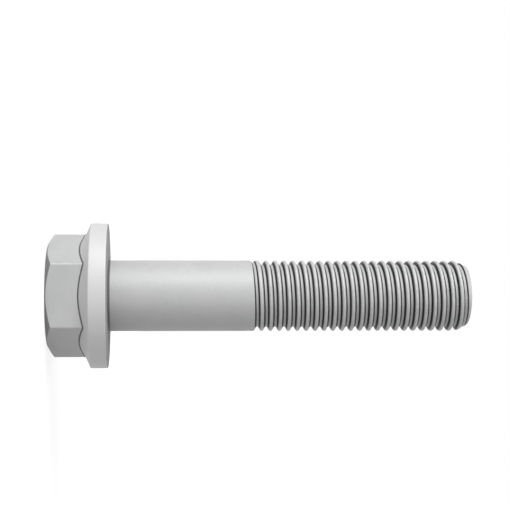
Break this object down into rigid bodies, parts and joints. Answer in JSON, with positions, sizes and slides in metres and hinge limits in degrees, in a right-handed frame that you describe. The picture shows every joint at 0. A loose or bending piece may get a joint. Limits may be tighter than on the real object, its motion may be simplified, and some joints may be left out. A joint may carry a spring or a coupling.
{
  "type": "hexagon flange bolt",
  "caption": "Hexagon flange bolt: a wrench hexagon that widens into a thick disc, a plain round shank and a right-hand metric thread with a chamfered tip",
  "frame": {"origin": "centre of the flange's bearing face, on the bolt's axis", "axes": "+Z along the shank to the threaded tip, square to the bearing face; +X through a corner of the hexagon; +Y square to one of its flats; the head lies on the -Z side, and the bolt stands on it"},
  "size_m": [0.0322, 0.0322, 0.0933],
  "materials": {
    "plated_steel": "satin zinc-flake coating, neutral silver grey"
  },
  "bodies": {
    "root": {"flange_bolt": "plated_steel"}
  },
  "joints": []
}
